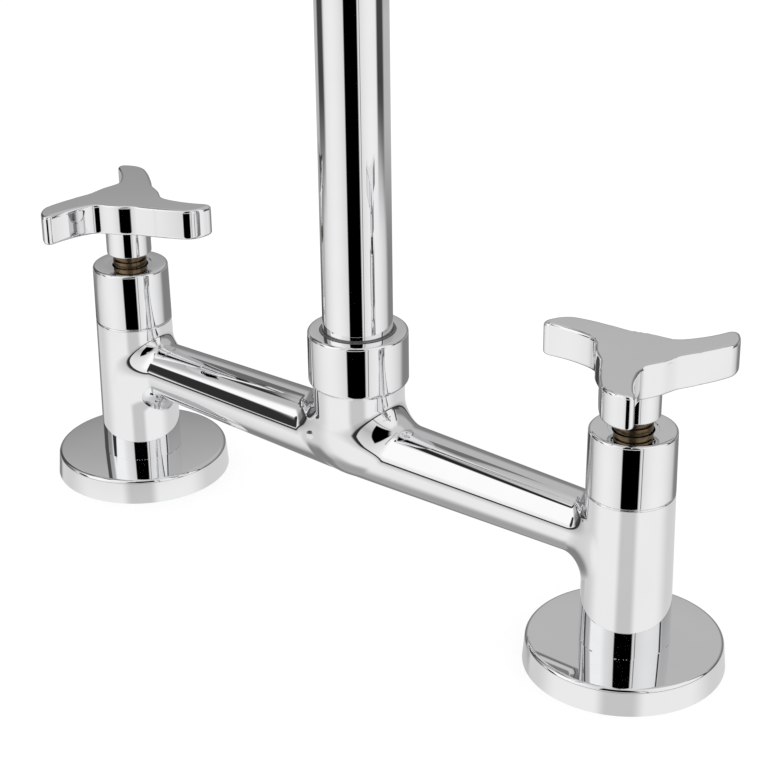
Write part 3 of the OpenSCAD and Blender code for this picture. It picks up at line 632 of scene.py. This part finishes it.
DOOR_LIGHT = 0.06  # also the light of the low strip
DOOR_LEFT = ((-90, -100), (-122, -132))
DOOR_RIGHT = ((80, 88), (108, 118))
DOOR_HEIGHT = ((-15, -7), (3, 10))
RAISED_LIGHT = 1.1
RAISED_HEIGHT = (3, 14)
RAISED_SIDE = ((-40, -60), (-88, -96))
CEILING_LIGHT = 0.7
CEILING_HEIGHT = (58, 74)
LOW_STRIP_SIDE = ((-132, -140), (-158, -166))
LOW_STRIP_TOP = (-15, -19)

BOARD_LIGHT = 0.62
# Painted reflection: how much of a mirror image of the walls is painted into the board's light
BOARD_REFLECTION_SHARE = 0.33
# The painted reflection of the walls: light where it mirrors the panels, none across the slot, the room's light
# further round
REFLECTED_PANEL_LIGHT = 0.95
REFLECTED_SLOT_FADE = (12, 27)
REFLECTED_ROOM_FADE = (70, 110)
RIM_LIGHT = 0.72
RIM_HEIGHT = (-6, -20)
# Painted shade on the board under the tap, where the view looks steeply down
UNDER_TAP_SHADE_LIGHT = 0.55
UNDER_TAP_SHADE_HEIGHT = (-38, -60)
UNDER_TAP_SHADE_SIDE = (60, 90)
# Light of the dark strip and of the painted shade behind the tap
BOARD_DARK = 0.25
BOARD_STRIP_SIDE = ((-128, -138), (-158, -168))
BOARD_STRIP_TOP = (-34, -28)
# Painted shade on the board behind the tap
BEHIND_TAP_SHADE_HEIGHT = ((-30, -40), (-50, -57))
BEHIND_TAP_SHADE_SIDE = (100, 125)
JOINT_LIGHT = 0.03
JOINT_HEIGHT = (-7, -4.5)

# Dark gaps between the soft panels: two ends as azimuth and height, half width, light
GAPS = (
    ((150, 41), (170, 46), 4, 0.15),
    ((172, 47.5), (188, 48), 2.5, 0.03),
    ((140, 54), (186, 64), 3, 0.17),
    ((196, 59), (222, 60), 3, 0.02),
    ((221, 20), (228, 7), 6.5, 0.03),
    ((178, 12), (178, 36), 13, 0.08),
    ((36, 8), (36, 45), 2.5, 0.05),
)
GAP_FADE = (0.8, 1.2)


def mix(old, new, cover):
    """The old light where cover is 0 and the new one where it is 1."""
    return old * (1 - cover) + new * cover


def between(begin, end, x):
    """1 between two fades and 0 outside them."""
    return smooth(*begin, x) * (1 - smooth(*end, x))


def band(azimuth, height, a, b, half):
    """Cover of a soft-edged band between two directions."""
    squeeze = math.cos(math.radians((a[1] + b[1]) / 2))
    px, py = (azimuth - a[0]) * squeeze, height - a[1]
    dx, dy = (b[0] - a[0]) * squeeze, b[1] - a[1]
    t = np.clip((px * dx + py * dy) / (dx * dx + dy * dy), 0, 1)
    begin, end = (half * v for v in GAP_FADE)
    return 1 - smooth(begin, end, np.hypot(px - t * dx, py - t * dy))


def from_slot(azimuth):
    """Side of the slot, from -180 at the left to 180 at the right."""
    return (azimuth - SLOT_AZIMUTH + 180) % 360 - 180


def wall_light(azimuth, height):
    """Round the tap: a dark slot, a soft panel with a thin seam on each side of it, and the room behind."""
    side = from_slot(azimuth)
    off = np.abs(side)
    edge, middle = PANEL_LIGHT
    panel = middle - (middle - edge) * ((off - PANEL_MIDDLE) / PANEL_HALF) ** 2
    slot = (1 - smooth(*SLOT_SIDE, off)) * np.where(height < 0, 1, smooth(*SLOT_FOOT, height))
    low, high = ROOM_PALE_BELOW
    pale = smooth(*ROOM_PALE_ABOVE, height) + smooth(*low, height) * smooth(*high, height)
    room = mix(*ROOM_LIGHT, pale)
    end = PANEL_END + PANEL_END_BELOW * smooth(*PANEL_WIDENS, height)
    light = mix(panel * (1 - slot), room, smooth(end, end + PANEL_END_FADE, off))
    return mix(light, SEAM_LIGHT, 1 - smooth(*SEAM_WIDTH, np.abs(side - SEAM_SIDE)))


def doors(azimuth, height):
    """Cover of a dark doorway on each side, from just below the tap's top to just above the board."""
    side = from_slot(azimuth)
    return (between(*DOOR_LEFT, side) + between(*DOOR_RIGHT, side)) * between(*DOOR_HEIGHT, height)


def upper_light(azimuth, height):
    """Above the board: the walls, a raised soft panel at the left, a pale ceiling and the dark gaps."""
    light = wall_light(azimuth, height)
    raised = smooth(*RAISED_HEIGHT, height) * between(*RAISED_SIDE, from_slot(azimuth))
    light = mix(light, RAISED_LIGHT, raised)
    light = mix(light, CEILING_LIGHT, smooth(*CEILING_HEIGHT, height))
    for a, b, half, dark in GAPS:
        light = mix(light, dark, band(azimuth % 360, height, a, b, half))
    return mix(light, DOOR_LIGHT, doors(azimuth, height))


def lower_light(azimuth, height):
    """Below the board's height, as the turned parts show it: the walls go on, with a dark strip at the left."""
    strip = between(*LOW_STRIP_SIDE, from_slot(azimuth)) * smooth(*LOW_STRIP_TOP, height)
    return mix(wall_light(azimuth, height), DOOR_LIGHT, strip + doors(azimuth, height))


def board_light(azimuth, height):
    """The board under the tap, as the casting and the flanges show it, with its gloss painted into its light.

    It has a painted reflection of the slot and the panels, painted shade under the tap and behind it, darker
    places at its rim and a dark joint.
    """
    side = from_slot(azimuth)
    off = np.abs(side)
    # Painted reflection of the slot, the panels and the room on the board
    painted_wall_reflection = mix(REFLECTED_PANEL_LIGHT, ROOM_LIGHT[0], smooth(*REFLECTED_ROOM_FADE, off)) * smooth(*REFLECTED_SLOT_FADE, off)
    rim = mix(RIM_LIGHT, 1, smooth(*RIM_HEIGHT, height))
    # Painted shade under the tap
    painted_shade_under_tap = mix(1, UNDER_TAP_SHADE_LIGHT, smooth(*UNDER_TAP_SHADE_HEIGHT, height) * smooth(*UNDER_TAP_SHADE_SIDE, off))
    light = (BOARD_LIGHT + BOARD_REFLECTION_SHARE * painted_wall_reflection) * rim * painted_shade_under_tap
    strip = between(*BOARD_STRIP_SIDE, side) * smooth(*BOARD_STRIP_TOP, height)
    # Painted shade behind the tap
    behind = between(*BEHIND_TAP_SHADE_HEIGHT, height) * smooth(*BEHIND_TAP_SHADE_SIDE, off)
    for dark in (strip, behind):
        light = mix(light, BOARD_DARK, dark)
    return mix(light, JOINT_LIGHT, smooth(*JOINT_HEIGHT, height))


def no_light(azimuth, height):
    """Black at each point."""
    return 0 * azimuth


def added(nodes, links, *shaders):
    """Sum of two shaders, as an output."""
    both = nodes.new("ShaderNodeAddShader")
    for socket, shader in zip(both.inputs, shaders):
        links.new(shader.outputs[0], socket)
    return both.outputs[0]


def make_dome(name, low, high, light_at, receivers=None, radius=STAGE_R):
    """Part of a dome with its own light at each point, seen only in reflections.

    With receivers, only their reflections see it, and they see what lies behind it too.
    """
    heights = np.radians(np.arange(low, high + 0.5))
    azimuths = np.radians(np.arange(-180, 180))
    el, az = np.meshgrid(heights, azimuths, indexing="ij")
    points = radius * np.stack([np.cos(el) * np.cos(az), np.cos(el) * np.sin(az), np.sin(el)], -1)
    cols = len(azimuths)
    faces = [
        (i * cols + j, i * cols + (j + 1) % cols, (i + 1) * cols + (j + 1) % cols, (i + 1) * cols + j)
        for i in range(len(heights) - 1) for j in range(cols)
    ]
    dome = new_object(name, points.reshape(-1, 3), faces)
    shade = dome.data.color_attributes.new("light", "FLOAT_COLOR", "POINT")
    light = light_at(np.degrees(az).ravel(), np.degrees(el).ravel())
    shade.data.foreach_set("color", np.repeat(light, 4))
    mat = bpy.data.materials.new(name)
    mat.use_nodes = True
    mat.cycles.emission_sampling = "NONE"
    nodes, links = mat.node_tree.nodes, mat.node_tree.links
    nodes.clear()
    colour = nodes.new("ShaderNodeAttribute")
    colour.attribute_name = "light"
    glow = nodes.new("ShaderNodeEmission")
    links.new(colour.outputs["Color"], glow.inputs["Color"])
    out = nodes.new("ShaderNodeOutputMaterial")
    surface = glow.outputs[0]
    if receivers:
        surface = added(nodes, links, glow, nodes.new("ShaderNodeBsdfTransparent"))
        group = bpy.data.collections.new(name)
        for obj in receivers:
            group.objects.link(obj)
        dome.light_linking.receiver_collection = group
    links.new(surface, out.inputs["Surface"])
    dome.data.materials.append(mat)
    dome.visible_camera = False
    dome.visible_diffuse = False
    dome.visible_transmission = False
    dome.visible_shadow = False


def make_domes():
    """The turned parts show the walls down to the board; the casting and the flanges show the board."""
    on_board = [obj for obj in bpy.data.objects if obj.name.startswith(("bridge_casting", "round_flange"))]
    others = [obj for obj in bpy.data.objects if obj.type == "MESH" and obj not in on_board]
    make_dome("surround", BOARD_EDGE, 90, upper_light)
    make_dome("walls_below", WALL_FOOT, BOARD_EDGE, lower_light, others, STAGE_R - LAYER_GAP)
    make_dome("board", -90, BOARD_EDGE, board_light, on_board)
    make_dome("dark_shell", -90, 0, no_light, radius=STAGE_R + 2 * LAYER_GAP)


FLOOR_HALF = 4000
FLOOR_COLOUR = 0.25
FLOOR_GLOW = 0.8  # makes the floor white together with the light that its colour throws back


def make_floor():
    """Plain white floor that keeps a faint shadow. Its glow is for the camera alone and lights nothing."""
    corners = [(FLOOR_HALF * a, FLOOR_HALF * b, 0) for a, b in ((-1, -1), (1, -1), (1, 1), (-1, 1))]
    floor = new_object("floor", corners, [(0, 1, 2, 3)])
    mat = bpy.data.materials.new("floor")
    mat.use_nodes = True
    nodes, links = mat.node_tree.nodes, mat.node_tree.links
    nodes.clear()
    diffuse = nodes.new("ShaderNodeBsdfDiffuse")
    diffuse.inputs["Color"].default_value = (FLOOR_COLOUR, FLOOR_COLOUR, FLOOR_COLOUR, 1)
    glow = nodes.new("ShaderNodeEmission")
    glow.inputs["Color"].default_value = (FLOOR_GLOW, FLOOR_GLOW, FLOOR_GLOW, 1)
    ray = nodes.new("ShaderNodeLightPath")
    links.new(ray.outputs["Is Camera Ray"], glow.inputs["Strength"])
    out = nodes.new("ShaderNodeOutputMaterial")
    links.new(added(nodes, links, diffuse, glow), out.inputs["Surface"])
    floor.data.materials.append(mat)
    floor.visible_glossy = False


def make_world():
    """Even white light from all sides."""
    world = bpy.data.worlds.new("studio")
    bpy.context.scene.world = world
    world.use_nodes = True
    sky = world.node_tree.nodes["Background"]
    sky.inputs["Color"].default_value = (1, 1, 1, 1)
    sky.inputs["Strength"].default_value = 1.0


def make_studio():
    """Everything round the tap. It comes last, because the domes are told which pieces show them."""
    make_domes()
    make_floor()
    make_world()
    bpy.context.scene.view_settings.view_transform = "Standard"


dress_cad_nodes()
make_bridge()
make_handles()
make_flanges()
make_shrouds()
make_collar()
make_spout()
make_camera()
make_studio()
